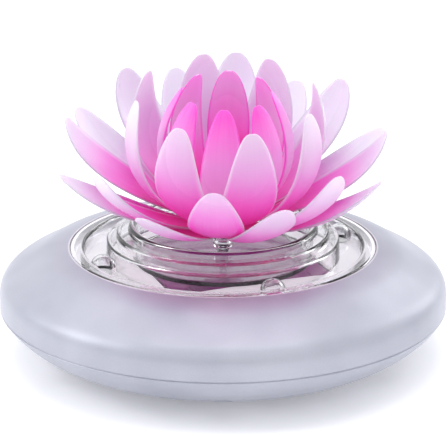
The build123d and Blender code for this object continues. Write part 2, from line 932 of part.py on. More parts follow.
def make_power_button():
    flange_z = button_chamber_floor_z + button_seal_thickness
    flange_top_z = flange_z + button_flange_thickness
    with BuildPart() as power_button:
        with BuildSketch(level(button_tip_z)):
            with Locations((0, button_y)):
                Circle(button_radius)
        extrude(amount=flange_z - button_tip_z)
        fillet(power_button.edges().group_by(Axis.Z)[0], button_rounding)
        with BuildSketch(level(flange_z)):
            with Locations((0, button_y)):
                Circle(button_flange_radius)
        extrude(amount=button_flange_thickness)
    save(power_button, "power_button")
    with BuildPart() as button_seal:
        with BuildSketch(level(button_chamber_floor_z)):
            with Locations((0, button_y)):
                Circle(button_chamber_radius - button_seal_inset)
                Circle(button_bore_radius, mode=Mode.SUBTRACT)
        extrude(amount=button_seal_thickness)
    save(button_seal, "button_seal")
    with BuildPart() as switch_plunger:
        with BuildSketch(level(flange_top_z)):
            with Locations((0, button_y)):
                Circle(plunger_radius)
        extrude(amount=plunger_length)
    save(switch_plunger, "switch_plunger")
    with BuildPart() as switch_body:
        with BuildSketch(level(button_boss_top_z)):
            with Locations((0, button_y)):
                Circle(button_boss_radius - switch_flange_inset)
        extrude(amount=switch_flange_thickness)
        with BuildSketch(level(button_boss_top_z + switch_flange_thickness)):
            with Locations((0, button_y)):
                Rectangle(switch_side, switch_side)
        extrude(amount=switch_top_z - button_boss_top_z - switch_flange_thickness)
        with BuildSketch(level(button_boss_top_z)):
            with Locations((0, button_y)):
                Circle(plunger_radius + plunger_clearance)
        extrude(amount=switch_bore_depth, mode=Mode.SUBTRACT)
    save(switch_body, "switch_body")
    start = (0, button_y, flange_top_z + button_wire_radius)
    coil_height = button_boss_top_z - flange_top_z - 2 * button_wire_radius
    with BuildPart() as button_spring:
        add(coil(start, (0, 0, 1), coil_height, button_coil_radius, button_wire_radius, button_coil_turns))
    save(button_spring, "button_spring")


# ---------------------------------------------------------------- leads


def make_leads():
    board_top = board_z + board_thickness
    for side, colour in ((1, "red"), (-1, "black")):
        # Down through the tray's hole and across onto the board
        wire(
            [
                (side * 1.3, panel_lead_y, panel_bottom_z),
                (side * 1.3, panel_lead_y, 33.6),
                (side * 8, 12, 33.6),
                (side * 8, 12, board_top),
            ],
            lead_bend,
            f"panel_lead_{colour}",
        )
        # Out of the holder's end and up over the board's edge
        wire(
            [
                (side * (bay_length / 2 + holder_wall), side * 3, 20),
                (side * 33.5, side * 3, 20),
                (side * 33.5, side * 3, 32.2),
                (side * 22, side * 3, 32.2),
                (side * 22, side * 3, board_top),
            ],
            lead_bend,
            f"battery_lead_{colour}",
        )
        # Up from the switch and inwards to the board
        wire(
            [
                (side * 2.4, button_y, switch_top_z),
                (side * 2.4, button_y, 26),
                (side * 2.4, 40, 29),
                (side * 2.4, 20, 32.6),
                (side * 2.4, 14.5, 32.6),
                (side * 2.4, 14.5, board_top),
            ],
            switch_lead_bend,
            f"switch_lead_{colour}",
        )
        # Down from the diodes' ring board and inwards to the board
        wire(
            [
                (-46, side * 2 - 10, led_board_z),
                (-46, side * 2 - 10, 30),
                (-30, side * 2 - 8, 30.5),
                (-24, side * 2 - 8, 32.6),
                (-19, side * 2 - 8, 32.6),
                (-19, side * 2 - 8, board_top),
            ],
            lead_bend,
            f"led_lead_{colour}",
        )


# ---------------------------------------------------------------- ball stem and flower


lean = radians(lean_angle)
flower_axis = (sin(lean) * polar(1, lean_azimuth, 0)[0], sin(lean) * polar(1, lean_azimuth, 0)[1], cos(lean))
flower_plane = Plane(origin=(0, 0, ball_z), x_dir=polar(1, lean_azimuth + 90, 0), z_dir=flower_axis)
# Petal azimuths are counted in the leaning frame, whose own x direction is turned from the row's +X.
frame_turn = lean_azimuth + 90


def make_stem_post():
    with BuildPart() as stem_post:
        with BuildSketch(Plane.XZ):
            with BuildLine():
                Polyline(
                    (0, ball_z),
                    (0, stem_socket_floor_z),
                    (post_foot_radius, stem_socket_floor_z),
                    (post_foot_radius, stem_boss_top_z),
                    (post_radius, stem_boss_top_z),
                    (post_radius, ball_z - neck_cone_length),
                    (neck_pin_radius, ball_z - neck_pin_length),
                    (neck_pin_radius, ball_z),
                    (0, ball_z),
                )
            make_face()
        revolve(axis=Axis.Z)
        with Locations((0, 0, ball_z)):
            Sphere(ball_radius)
    save(stem_post, "stem_post")


def make_ball_socket():
    with BuildPart(flower_plane) as ball_socket:
        with BuildSketch(flower_plane.offset(socket_bottom)):
            Circle(socket_radius)
        extrude(amount=socket_top - socket_bottom)
        fillet(ball_socket.edges(), socket_rounding)
        with BuildSketch(flower_plane.offset(spigot_root)):
            Circle(spigot_radius)
        extrude(amount=spigot_top - spigot_root)
        with BuildSketch(flower_plane.offset(spigot_floor)):
            Circle(spigot_bore_radius)
        extrude(amount=spigot_top - spigot_floor, mode=Mode.SUBTRACT)
        Sphere(ball_radius + ball_clearance, mode=Mode.SUBTRACT)
        with BuildSketch(flower_plane.offset(socket_bottom)):
            Circle(socket_mouth_radius)
        extrude(amount=-socket_bottom, mode=Mode.SUBTRACT)
    save(ball_socket, "ball_socket")


def make_hub():
    with BuildPart() as hub_bush:
        with BuildSketch(flower_plane.offset(hub_bottom)):
            Circle(bush_outer_radius)
            Circle(bush_inner_radius, mode=Mode.SUBTRACT)
        extrude(amount=bush_top - hub_bottom)
    save(hub_bush, "hub_bush")
    stack_height = hub_flange_thickness + len(ring_disc_radii) * ring_disc_thickness
    with BuildPart() as flower_hub:
        with BuildSketch(flower_plane.offset(hub_bottom)):
            Circle(hub_flange_radius)
            Circle(barrel_inner_radius, mode=Mode.SUBTRACT)
        extrude(amount=hub_flange_thickness)
        with BuildSketch(flower_plane.offset(hub_bottom)):
            Circle(barrel_outer_radius)
            Circle(barrel_inner_radius, mode=Mode.SUBTRACT)
        extrude(amount=stack_height)
    save(flower_hub, "flower_hub")
    cap_base = hub_bottom + stack_height
    with BuildPart() as flower_cap:
        with BuildSketch(flower_plane.offset(cap_base)):
            Circle(finial_flange_radius)
        extrude(amount=finial_flange_height)
        with BuildSketch(flower_plane.offset(cap_base + finial_flange_height)):
            Circle(finial_radius)
        extrude(amount=finial_height, taper=finial_taper)
        with BuildSketch(flower_plane.offset(cap_base)):
            Circle(barrel_inner_radius - finial_plug_clearance)
        extrude(amount=-finial_plug_length)
    save(flower_cap, "flower_cap")


def bezier(points, t):
    """A point and its direction on a cubic curve through the first and last of four points."""
    weights = ((1 - t) ** 3, 3 * t * (1 - t) ** 2, 3 * t**2 * (1 - t), t**3)
    slopes = (
        -3 * (1 - t) ** 2,
        3 * (1 - t) ** 2 - 6 * t * (1 - t),
        6 * t * (1 - t) - 3 * t**2,
        3 * t**2,
    )
    place = [sum(w * p[k] for w, p in zip(weights, points)) for k in (0, 1)]
    slope = [sum(s * p[k] for s, p in zip(slopes, points)) for k in (0, 1)]
    return place, slope


def petal_width(t, base_width, full_width):
    """The width across a petal at a fraction of its length, widest at widest_at and rounded at the tip."""
    if t < widest_at:
        return base_width + (full_width - base_width) * sin(pi / 2 * t / widest_at) ** petal_fullness
    past = (t - widest_at) / (1 - widest_at)
    return petal_tip_width + (full_width - petal_tip_width) * (1 - past**2) ** tip_roundness


def make_petal(keel, full_width, cup):
    """One cupped petal, lofted along its keel, a cubic curve of (radius, height) points above the ball.

    cup is the height of the petal's edges over its keel at its widest.
    """
    half = petal_thickness / 2
    with BuildPart() as petal:
        for t in petal_stations:
            (r, z), (dr, dz) = bezier(keel, t)
            width = petal_width(t, petal_base_share * keel[0][0], full_width)
            rise = cup * (width / full_width) ** 2
            side = width / 2
            with BuildSketch(Plane(origin=(r, 0, z), x_dir=(0, 1, 0), z_dir=(dr, 0, dz))):
                with BuildLine():
                    ThreePointArc((-side, rise - half), (0, -half), (side, rise - half))
                    Line((side, rise - half), (side, rise + half))
                    ThreePointArc((side, rise + half), (0, half), (-side, rise + half))
                    Line((-side, rise + half), (-side, rise - half))
                make_face()
        loft()
    return petal.part


def disc_middle(number):
    """The height of the middle of a whorl's disc over the ball's centre."""
    return hub_bottom + hub_flange_thickness + (number - 0.5) * ring_disc_thickness


def make_whorl(number, keel, full_width, cup, phase, rises):
    """A whorl of petals, welded by their roots to the rim of the disc that the hub's barrel carries.

    The petals are soft, so each has its own rises over the whorl's keel: its middle's and its tip's.
    """
    disc_plane = flower_plane.offset(disc_middle(number))
    disc_radius = ring_disc_radii[number - 1]
    root, shoulder, waist, tip = keel
    with BuildPart(flower_plane) as petal_ring:
        for index, (middle_rise, tip_rise) in enumerate(rises):
            own_keel = (
                root,
                (shoulder[0], shoulder[1] + middle_rise),
                (waist[0], waist[1] + middle_rise),
                (tip[0], tip[1] + tip_rise),
            )
            with PolarLocations(0, 1, start_angle=phase - frame_turn + index * petal_pitch):
                add(make_petal(own_keel, full_width, cup))
        with BuildSketch(disc_plane):
            Circle(disc_radius)
        extrude(amount=ring_disc_thickness, both=True, mode=Mode.SUBTRACT)
    save(petal_ring, f"petal_ring_{number}")
    with BuildPart() as petal_disc:
        with BuildSketch(disc_plane):
            Circle(disc_radius)
            Circle(ring_bore_radius, mode=Mode.SUBTRACT)
        extrude(amount=ring_disc_thickness / 2, both=True)
    save(petal_disc, f"petal_disc_{number}")


def make_flower():
    # The middle's and the tip's rise of each petal, counter-clockwise from the whorl's phase
    outer = ((0, -2.5), (0, -0.5), (0, 2.5), (0, 0), (0, -4), (2.8, 0), (2.5, 7), (0, 1.5))
    second = ((0, 0), (0, 0), (0, 1), (0, 0), (0, -1.5), (0, -2.5), (0, 3.5), (0.5, 3))
    even = ((0, 0),) * petal_count
    make_whorl(1, ((8.4, disc_middle(1)), (30, 14.8), (52, 21.0), (69.0, 45.0)), 22.0, 2.4, 18.5, outer)
    make_whorl(2, ((7.7, disc_middle(2)), (31, 19.6), (61, 31.0), (64.8, 54.9)), 22.0, 2.6, -4, second)
    make_whorl(3, ((7.0, disc_middle(3)), (25, 19.5), (51, 34.0), (36.6, 68.8)), 22.5, 3.2, 15.5, even)
    make_whorl(4, ((6.3, disc_middle(4)), (22, 21.0), (38, 42.0), (17.8, 69.9)), 17.5, 3.0, -3, even)


# ---------------------------------------------------------------- build every piece

make_lower_hull()
make_upper_hull()
make_hull_seal()
cross_headed_screws(
    ring_points(screw_circle_radius, screw_count, screw_start_angle),
    screw_seat_z,
    (screw_head_radius, screw_head_height, screw_radius, screw_tip_z - screw_seat_z),
    1,
    "hull_screws",
)
make_clear_cover()
make_cover_seal()
make_reflector_tray()
make_solar_panel()
make_leds()
make_led_board()
cross_headed_screws(
    led_post_points(),
    led_board_z,
    led_board_screw,
    1,
    "led_board_screws",
)
make_circuit_board()
cross_headed_screws(
    [(x, y) for x in (-board_screw_x, board_screw_x) for y in (-board_screw_y, board_screw_y)],
    board_z + board_thickness,
    circuit_board_screw,
    -1,
    "board_screws",
)
make_battery_holder()
cross_headed_screws(
    holder_screw_points(),
    neck_top_z + holder_flange_thickness,
    holder_screw,
    -1,
    "holder_screws",
)
make_battery_cells()
make_battery_contacts()
make_battery_cap()
make_power_button()
make_leads()
make_stem_post()
make_ball_socket()
make_hub()
make_flower()
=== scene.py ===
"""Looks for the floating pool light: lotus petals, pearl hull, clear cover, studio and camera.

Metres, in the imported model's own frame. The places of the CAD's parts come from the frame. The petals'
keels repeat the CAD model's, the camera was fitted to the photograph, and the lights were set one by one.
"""

import json

from math import cos, pi, radians, sin, sqrt

import bpy
from mathutils import Matrix, Vector


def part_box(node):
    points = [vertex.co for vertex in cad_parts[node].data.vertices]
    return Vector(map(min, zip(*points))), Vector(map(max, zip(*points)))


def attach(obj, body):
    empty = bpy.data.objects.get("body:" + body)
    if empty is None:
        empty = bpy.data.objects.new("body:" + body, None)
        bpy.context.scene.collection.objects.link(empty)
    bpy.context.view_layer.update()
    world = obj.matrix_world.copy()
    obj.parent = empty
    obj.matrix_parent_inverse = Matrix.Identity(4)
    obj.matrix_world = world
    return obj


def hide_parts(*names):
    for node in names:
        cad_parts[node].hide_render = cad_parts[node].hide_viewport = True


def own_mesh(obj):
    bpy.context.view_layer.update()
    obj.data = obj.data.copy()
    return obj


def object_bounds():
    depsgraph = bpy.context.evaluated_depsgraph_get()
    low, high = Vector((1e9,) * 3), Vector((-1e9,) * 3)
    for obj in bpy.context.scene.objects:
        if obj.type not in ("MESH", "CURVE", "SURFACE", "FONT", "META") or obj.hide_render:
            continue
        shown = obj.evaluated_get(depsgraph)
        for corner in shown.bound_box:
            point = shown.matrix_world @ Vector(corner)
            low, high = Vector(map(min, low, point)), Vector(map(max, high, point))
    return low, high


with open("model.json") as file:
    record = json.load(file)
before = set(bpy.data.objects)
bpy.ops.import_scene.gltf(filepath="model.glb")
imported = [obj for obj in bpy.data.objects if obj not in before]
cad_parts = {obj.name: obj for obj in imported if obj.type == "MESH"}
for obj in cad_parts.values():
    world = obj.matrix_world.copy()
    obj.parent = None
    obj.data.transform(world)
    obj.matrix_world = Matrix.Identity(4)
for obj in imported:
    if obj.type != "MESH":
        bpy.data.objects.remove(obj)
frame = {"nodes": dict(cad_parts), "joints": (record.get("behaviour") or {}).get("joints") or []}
cad_low, cad_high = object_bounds()
nodes = frame["nodes"]
joints = {joint["name"]: joint for joint in frame["joints"]}
MM = 0.001

# ---------------------------------------------------------------- colours, linear

PEARL = (0.520, 0.530, 0.600, 1)
PEARL_SHADE = (0.415, 0.425, 0.495, 1)
DEEP_MAGENTA = (0.80, 0.012, 0.38, 1)
MAGENTA = (0.84, 0.060, 0.52, 1)
PINK = (0.80, 0.200, 0.61, 1)
PALE_PINK = (0.74, 0.370, 0.68, 1)
LAVENDER = (0.68, 0.480, 0.68, 1)
WHITE_LILAC = (0.69, 0.670, 0.75, 1)
EDGE_GREY = (0.50, 0.480, 0.56, 1)
STREAK = (1, 0.94, 1, 1)
HUB_MAGENTA = (0.78, 0.10, 0.50)
CLEAR = (0.985, 0.980, 0.995, 1)
CLEAR_LENS = (0.97, 0.96, 0.99, 1)
CLEAR_LAMINATE = (0.93, 0.88, 0.94, 1)
BARE_WHITE = (0.86, 0.855, 0.88, 1)
CELL_DARK = (0.260, 0.009, 0.200)
CELL_LIGHT = (0.340, 0.014, 0.270)
COLLECTOR = (0.42, 0.16, 0.38, 1)
PANEL_BACKING = (0.10, 0.030, 0.075)
SOLDER_MASK = (0.010, 0.085, 0.030, 1)
SOLDER_MASK_LIGHT = (0.012, 0.100, 0.036, 1)
TRACK = (0.030, 0.200, 0.070, 1)
BLACK = (0, 0, 0)
WHITE = (1, 1, 1)

# Noise scales: features per metre
CLOUD_SCALE = 28
DYE_SCALE = 38
RIPPLE_SCALE = 45
MOTTLE_SCALE = 60
CELL_GRAIN_SCALE = 130
BOARD_GRAIN_SCALE = 700
FROST_SCALE = 1500
FLAKE_SCALE = 5200
FLOOR_SCALE = 3

# ---------------------------------------------------------------- material helpers


def rgba(colour):
    """A colour with an alpha of 1 where it has none."""
    return colour if len(colour) == 4 else (*colour, 1)


def new_material(name):
    """A material with a Principled shader: itself, its tree, its shader, and its texture coordinates."""
    material = bpy.data.materials.new(name)
    material.use_nodes = True
    tree = material.node_tree
    tree.nodes.clear()
    shader = tree.nodes.new("ShaderNodeBsdfPrincipled")
    output = tree.nodes.new("ShaderNodeOutputMaterial")
    tree.links.new(shader.outputs["BSDF"], output.inputs["Surface"])
    place = tree.nodes.new("ShaderNodeTexCoord")
    return material, tree, shader, place


def noise(tree, place, scale, detail):
    """A noise texture's factor, in object coordinates."""
    texture = tree.nodes.new("ShaderNodeTexNoise")
    texture.inputs["Scale"].default_value = scale
    texture.inputs["Detail"].default_value = detail
    tree.links.new(place.outputs["Object"], texture.inputs["Vector"])
    return texture.outputs["Fac"]


def ramp(tree, factor, stops):
    """A colour ramp over a factor. stops are (position, colour)."""
    node = tree.nodes.new("ShaderNodeValToRGB")
    elements = node.color_ramp.elements
    while len(elements) < len(stops):
        elements.new(0.5)
    for element, (position, colour) in zip(elements, stops):
        element.position = position
        element.color = rgba(colour)
    tree.links.new(factor, node.inputs["Fac"])
    return node.outputs["Color"]


def between(tree, factor, first, second, start=0.3, end=0.7):
    """The first colour up to start and the second from end. A noise's factor hardly leaves 0.3 to 0.7."""
    return ramp(tree, factor, [(start, first), (end, second)])


def mix(tree, factor, first, second, blend="MIX"):
    """Two colours mixed by a factor. Each of the three is a socket or a constant."""
    node = tree.nodes.new("ShaderNodeMix")
    node.data_type = "RGBA"
    node.blend_type = blend
    for socket, value in ((node.inputs[0], factor), (node.inputs[6], first), (node.inputs[7], second)):
        if isinstance(value, bpy.types.NodeSocket):
            tree.links.new(value, socket)
        else:
            socket.default_value = value
    return node.outputs[2]


def span(tree, factor, low, high):
    """A number from low to high, for a factor from 0 to 1."""
    node = tree.nodes.new("ShaderNodeMapRange")
    node.inputs["To Min"].default_value = low
    node.inputs["To Max"].default_value = high
    tree.links.new(factor, node.inputs["Value"])
    return node.outputs["Result"]


def bump(tree, shader, height, distance, strength=1.0):
    """Raises a shader's surface by up to a distance in metres where the height is 1."""
    node = tree.nodes.new("ShaderNodeBump")
    node.inputs["Strength"].default_value = strength
    node.inputs["Distance"].default_value = distance
    tree.links.new(height, node.inputs["Height"])
    tree.links.new(node.outputs["Normal"], shader.inputs["Normal"])


def paint_glow(tree, shader, colour, strength):
    """Painted light: gives out a little of a surface's own colour as a glow, though the part is no lamp."""
    tree.links.new(colour, shader.inputs["Emission Color"])
    shader.inputs["Emission Strength"].default_value = strength


def moulded(
    name,
    colour,
    roughness=0.45,
    grain=900,
    depth=0.02 * MM,
    metallic=0.0,
    coat=0.0,
    painted_glow=0.0,
):
    """Moulded or machined stock: a colour that varies a little, a fine grain, and an uneven polish.

    The glow strength is painted light: an even glow in the wall's own colour, which stands in for the light
    that a thin pale wall lets through from its other side.
    """
    colour_change, polish_change = 0.06, 0.15
    material, tree, shader, place = new_material(name)
    dark = tuple(c * (1 - colour_change) for c in colour[:3])
    light = tuple(min(1, c * (1 + colour_change)) for c in colour[:3])
    body = between(tree, noise(tree, place, MOTTLE_SCALE, 3), dark, light)
    tree.links.new(body, shader.inputs["Base Color"])
    if painted_glow:
        paint_glow(tree, shader, body, painted_glow)
    fine = noise(tree, place, grain, 2)
    polish = span(tree, fine, roughness * (1 - polish_change), roughness * (1 + polish_change))
    tree.links.new(polish, shader.inputs["Roughness"])
    bump(tree, shader, fine, depth)
    shader.inputs["Metallic"].default_value = metallic
    shader.inputs["Coat Weight"].default_value = coat
    return material


# ---------------------------------------------------------------- materials

# The bare lip ends just outside the clear cover
LIP_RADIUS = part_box("clear_cover")[1][0] + 0.3 * MM
LIP_BLEND = 0.8 * MM
FLAKE_SHARE = 0.3


def outside_lip(tree, place):
    """0 on the lip round the cover and 1 beyond it, from the distance to the hull's axis."""
    flat = tree.nodes.new("ShaderNodeVectorMath")
    flat.operation = "MULTIPLY"
    flat.inputs[1].default_value = (1, 1, 0)
    tree.links.new(place.outputs["Object"], flat.inputs[0])
    reach = tree.nodes.new("ShaderNodeVectorMath")
    reach.operation = "LENGTH"
    tree.links.new(flat.outputs["Vector"], reach.inputs[0])
    outside = tree.nodes.new("ShaderNodeMapRange")
    outside.inputs["From Min"].default_value = LIP_RADIUS
    outside.inputs["From Max"].default_value = LIP_RADIUS + LIP_BLEND
    tree.links.new(reach.outputs["Value"], outside.inputs["Value"])
    return outside.outputs["Result"]


def pearl_plastic(name, light, shade, bare_lip=False):
    """Silver pearl lacquer: fine metal flake under a satin coat, cloudy at a larger scale.

    With a bare lip, the lacquer stops at the lip round the cover, and the plastic is plain white inside it.
    """
    material, tree, shader, place = new_material(name)
    cloud = noise(tree, place, CLOUD_SCALE, 2)
    flake = noise(tree, place, FLAKE_SCALE, 1)
    body = between(tree, cloud, shade, light, 0.32, 0.68)
    sparkle = between(tree, flake, (0.90, 0.90, 0.92), WHITE, 0.35, 0.65)
    lacquer = mix(tree, 1.0, body, sparkle, "MULTIPLY")
    if bare_lip:
        outside = outside_lip(tree, place)
        tree.links.new(mix(tree, outside, BARE_WHITE, lacquer), shader.inputs["Base Color"])
        tree.links.new(span(tree, outside, 0.0, FLAKE_SHARE), shader.inputs["Metallic"])
    else:
        tree.links.new(lacquer, shader.inputs["Base Color"])
        shader.inputs["Metallic"].default_value = FLAKE_SHARE
    tree.links.new(span(tree, cloud, 0.38, 0.50), shader.inputs["Roughness"])
    bump(tree, shader, flake, 0.012 * MM, 0.5)
    shader.inputs["Coat Weight"].default_value = 0.25
    shader.inputs["Coat Roughness"].default_value = 0.3
    return material


def clear_plastic(name, tint=CLEAR, roughness=0.03, ripple=0.12 * MM, index=1.49, cover=None):
    """Clear moulded acrylic with the slight ripple of a moulding.

    cover is for a thin layer that is hardly seen: how much of it shows square on and edge on.
    """
    tint_change, polish_change = 0.015, 0.3
    material, tree, shader, place = new_material(name)
    wave = noise(tree, place, RIPPLE_SCALE, 1)
    duller = tuple(c * (1 - tint_change) for c in tint[:3])
    tree.links.new(between(tree, wave, duller, tint), shader.inputs["Base Color"])
    polish = span(tree, wave, roughness * (1 - polish_change), roughness * (1 + polish_change))
    tree.links.new(polish, shader.inputs["Roughness"])
    bump(tree, shader, wave, ripple, 0.6)
    if cover:
        sheen = tree.nodes.new("ShaderNodeLayerWeight")
        sheen.inputs["Blend"].default_value = 0.35
        tree.links.new(span(tree, sheen.outputs["Facing"], *cover), shader.inputs["Alpha"])
    shader.inputs["Transmission Weight"].default_value = 1.0
    shader.inputs["IOR"].default_value = index
    return material


# Streaks across a petal's width and along its length, and how far in from each side the pale rim fades out
STREAK_COUNTS = (22, 1.6, 1)
RIM_SHARE = 0.055


def petal_plastic(name, stops, edge, painted_glow=0.08):
    """Frosted translucent petal, dyed from its base to its tip.

    The petal's own map holds its width from 0 to 1, and its length from base to tip, set back by the petal's
    own shift, which is partly dye and partly painted light and shade.
    """
    material, tree, shader, place = new_material(name)
    parts = tree.nodes.new("ShaderNodeSeparateXYZ")
    tree.links.new(place.outputs["UV"], parts.inputs["Vector"])
    # The dye's front wanders a little
    wander = span(tree, noise(tree, place, DYE_SCALE, 3), -0.05, 0.05)
    along = tree.nodes.new("ShaderNodeMath")
    along.operation = "ADD"
    tree.links.new(parts.outputs["Y"], along.inputs[0])
    tree.links.new(wander, along.inputs[1])
    # Colours from base to tip, moved along by each petal's shift: partly dye, partly painted light and shade
    dye = ramp(tree, along.outputs["Value"], stops)
    # Pale rim line, from the distance to the nearer side
    across = tree.nodes.new("ShaderNodeMath")
    across.operation = "PINGPONG"
    across.inputs[1].default_value = 0.5
    tree.links.new(parts.outputs["X"], across.inputs[0])
    rim = ramp(tree, across.outputs["Value"], [(0.0, WHITE), (RIM_SHARE, BLACK)])
    # Faint streaks that follow the petal's length
    streak = tree.nodes.new("ShaderNodeMapping")
    streak.inputs["Scale"].default_value = STREAK_COUNTS
    tree.links.new(place.outputs["UV"], streak.inputs["Vector"])
    streaks = tree.nodes.new("ShaderNodeTexNoise")
    streaks.inputs["Scale"].default_value = 1
    streaks.inputs["Detail"].default_value = 3
    tree.links.new(streak.outputs["Vector"], streaks.inputs["Vector"])
    streaked = mix(tree, span(tree, streaks.outputs["Fac"], 0.0, 0.10), dye, STREAK)
    skin = mix(tree, span(tree, rim, 0.0, 0.85), streaked, edge)
    tree.links.new(skin, shader.inputs["Base Color"])
    # Painted light: an even glow in the petal's own colour, which stands in for the light that thin plastic
    # passes on from its other side
    paint_glow(tree, shader, skin, painted_glow)
    frost = noise(tree, place, FROST_SCALE, 3)
    tree.links.new(span(tree, frost, 0.40, 0.58), shader.inputs["Roughness"])
    bump(tree, shader, frost, 0.03 * MM, 0.5)
    shader.inputs["Subsurface Weight"].default_value = 0.55
    shader.inputs["Subsurface Radius"].default_value = (1.0, 0.45, 0.9)
    shader.inputs["Subsurface Scale"].default_value = 3.5 * MM
    shader.inputs["Transmission Weight"].default_value = 0.12
    shader.inputs["IOR"].default_value = 1.42
    return material


PANEL_TURN = 22
COLLECTOR_SCALE = 150
# How strongly the cells glow in their own colour: painted light
CELL_PAINTED_GLOW = 0.28


def solar_silicon(name):
    """Dark violet cells with fine pale collector lines, in the turned panel's own directions."""
    material, tree, shader, place = new_material(name)
    turned = tree.nodes.new("ShaderNodeMapping")
    turned.vector_type = "TEXTURE"
    turned.inputs["Rotation"].default_value = (0, 0, radians(PANEL_TURN))
    tree.links.new(place.outputs["Object"], turned.inputs["Vector"])
    base = between(tree, noise(tree, place, CELL_GRAIN_SCALE, 4), CELL_DARK, CELL_LIGHT)
    lines = tree.nodes.new("ShaderNodeTexWave")
    lines.bands_direction = "Y"
    lines.inputs["Scale"].default_value = COLLECTOR_SCALE
    tree.links.new(turned.outputs["Vector"], lines.inputs["Vector"])
    fingers = ramp(tree, lines.outputs["Fac"], [(0.90, BLACK), (0.97, WHITE)])
    face = mix(tree, span(tree, fingers, 0.0, 0.35), base, COLLECTOR)
    tree.links.new(face, shader.inputs["Base Color"])
    # Painted light: the cells glow in their own colour, as the renderer brings little light through the clear
    # cover
    paint_glow(tree, shader, face, CELL_PAINTED_GLOW)
    shader.inputs["Roughness"].default_value = 0.28
    shader.inputs["Coat Weight"].default_value = 0.5
    return material


def circuit_laminate(name):
    """Green solder mask over copper tracks."""
    material, tree, shader, place = new_material(name)
    tracks = tree.nodes.new("ShaderNodeTexBrick")
    tracks.inputs["Scale"].default_value = 130
    tracks.inputs["Mortar Size"].default_value = 0.035
    tracks.inputs["Color1"].default_value = SOLDER_MASK
    tracks.inputs["Color2"].default_value = SOLDER_MASK_LIGHT
    tracks.inputs["Mortar"].default_value = TRACK
    tree.links.new(place.outputs["Object"], tracks.inputs["Vector"])
    tree.links.new(tracks.outputs["Color"], shader.inputs["Base Color"])
    grain = noise(tree, place, BOARD_GRAIN_SCALE, 2)
    tree.links.new(span(tree, grain, 0.3, 0.42), shader.inputs["Roughness"])
    bump(tree, shader, tracks.outputs["Fac"], 0.03 * MM, 0.5)
    return material


def paint(material, *names):
    """Gives CAD nodes a material of their own."""
    for name in names:
        for slot in nodes[name].material_slots:
            slot.link = "OBJECT"
            slot.material = material


def paint_nodes():
    """The CAD nodes' materials, apart from the ones that the petals and the button's spring stand for."""
    soft = {"grain": 700, "depth": 0.04 * MM}
    metal = {"metallic": 1.0}
    paint(pearl_plastic("pearl_silver_top", PEARL, PEARL_SHADE, bare_lip=True), "upper_hull")
    paint(pearl_plastic("pearl_silver", PEARL, PEARL_SHADE), "lower_hull", "battery_cap")
    paint(moulded("black_rubber", (0.02, 0.02, 0.022), roughness=0.6, **soft), "hull_seal", "cap_seal")
    # The seal glows a little in its own colour: painted light
    paint(moulded("milky_silicone", BARE_WHITE, roughness=0.5, painted_glow=0.45, **soft), "cover_seal")
    button = moulded("button_rubber", (0.05, 0.05, 0.06), roughness=0.55, depth=0.04 * MM)
    paint(button, "power_button", "button_seal")
    paint(clear_plastic("clear_acrylic"), "clear_cover")
    paint(clear_plastic("clear_stem", ripple=0.06 * MM), "stem_post", "ball_socket")
    led_epoxy = clear_plastic("led_epoxy", CLEAR_LENS, roughness=0.05, cover=(0.08, 0.5))
    paint(led_epoxy, "led_1", "led_2", "led_3", "led_4")
    laminate = clear_plastic(
        "panel_epoxy", CLEAR_LAMINATE, roughness=0.08, ripple=0.05 * MM, index=1.2, cover=(0.02, 0.25)
    )
    paint(laminate, "panel_laminate")
    # The tray glows a little in its own colour: painted light
    paint(moulded("white_tray", BARE_WHITE, roughness=0.35, grain=500, painted_glow=0.5), "reflector_tray")
    paint(moulded("panel_backing", PANEL_BACKING, roughness=0.5), "panel_board")
    paint(solar_silicon("solar_silicon"), "solar_cells")
    paint(circuit_laminate("circuit_green"), "circuit_board", "led_board")
    paint(moulded("black_package", (0.02, 0.02, 0.021), roughness=0.5), "control_chip", "board_inductor")
    paint(moulded("aluminium_can", (0.62, 0.63, 0.65), roughness=0.3, **metal), "board_capacitor")
    steel = moulded("stainless_steel", (0.50, 0.50, 0.52), roughness=0.32, grain=1400, **metal)
    paint(steel, "hull_screws", "board_screws", "holder_screws", "led_board_screws")
    nickel = moulded("nickel_plate", (0.62, 0.61, 0.58), roughness=0.22, **metal)
    paint(nickel, "contact_plates", "contact_springs")
    black_moulding = moulded("black_moulding", (0.03, 0.03, 0.033), roughness=0.5)
    paint(black_moulding, "battery_holder", "switch_body", "switch_plunger")
    sleeve = moulded("cell_sleeve", (0.05, 0.16, 0.12), roughness=0.3, coat=0.4)
    paint(sleeve, "battery_cell_1", "battery_cell_2")
    red = moulded("red_insulation", (0.45, 0.015, 0.012), roughness=0.42)
    black = moulded("black_insulation", (0.015, 0.015, 0.016), roughness=0.42)
    for lead in ("panel_lead", "battery_lead", "switch_lead", "led_lead"):
        paint(red, f"{lead}_red")
        paint(black, f"{lead}_black")
    hub = moulded("hub_magenta", HUB_MAGENTA, roughness=0.4, grain=700, coat=0.2)
    paint(hub, "flower_hub", "flower_cap", "hub_bush")
    paint(hub, *(f"petal_disc_{number}" for number in WHORLS))


# ---------------------------------------------------------------- made pieces


def add_piece(name, vertices, faces, material, uvs=None):
    """A smooth mesh of its own in the scene. uvs has one place for each vertex."""
    mesh = bpy.data.meshes.new(name)
    mesh.from_pydata(vertices, [], faces)
    if uvs:
        layer = mesh.uv_layers.new(name="petal")
        for loop in mesh.loops:
            layer.data[loop.index].uv = uvs[loop.vertex_index]
    mesh.polygons.foreach_set("use_smooth", [True] * len(mesh.polygons))
    mesh.materials.append(material)
    mesh.validate()
    piece = bpy.data.objects.new(name, mesh)
    bpy.context.scene.collection.objects.link(piece)
    return piece


# ---------------------------------------------------------------- petals

